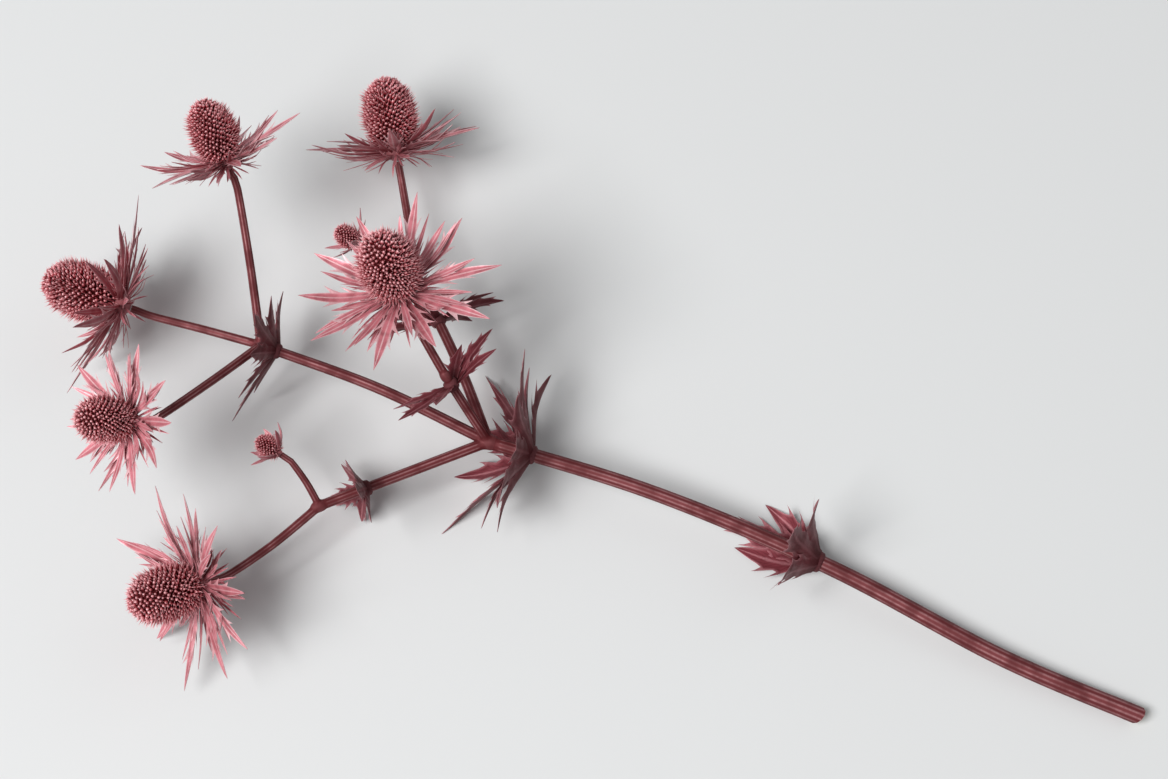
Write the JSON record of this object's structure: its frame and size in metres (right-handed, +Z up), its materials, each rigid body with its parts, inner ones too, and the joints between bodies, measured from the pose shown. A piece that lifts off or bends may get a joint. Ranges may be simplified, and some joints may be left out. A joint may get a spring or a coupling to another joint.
{
  "type": "sea holly stem",
  "caption": "Cut branching stem lying on its side, with egg-shaped spiky flower cones in star-like ruffs of toothed bracts.",
  "frame": {"origin": "centre of the footprint's box, on the surface that the stem lies on", "axes": "+Z up; +X along the stem towards its cut end, so the flower heads lie towards -X; +Y to the side"},
  "size_m": [0.5348, 0.3054, 0.1335],
  "materials": {
    "stem": "dyed woody stalk with fine ridges, satin, slightly pearly",
    "leaf": "dyed stiff leaf, satin, slightly pearly, dark burgundy in the folds",
    "bract": "metallic rose dye on stiff spiny bracts, pearly sheen",
    "floret": "burgundy florets with pearly pink tips, rough"
  },
  "bodies": {
    "root": {"stem": "stem", "bract_ruff_1": "bract", "bract_ruff_2": "bract", "bract_ruff_3": "bract", "bract_ruff_4": "bract", "bract_ruff_5": "bract", "bract_ruff_6": "bract", "flower_cone_1": "floret", "flower_cone_2": "floret", "flower_cone_3": "floret", "flower_cone_4": "floret", "flower_cone_5": "floret", "flower_cone_6": "floret", "side_bud_left": "bract", "side_bud_right": "bract", "leaf_whorl_stalk": "leaf", "leaf_whorl_fork": "leaf", "leaf_whorl_centre": "leaf", "leaf_whorl_left": "leaf", "leaf_whorl_right": "leaf", "leaf_whorl_upper": "leaf"}
  },
  "joints": []
}
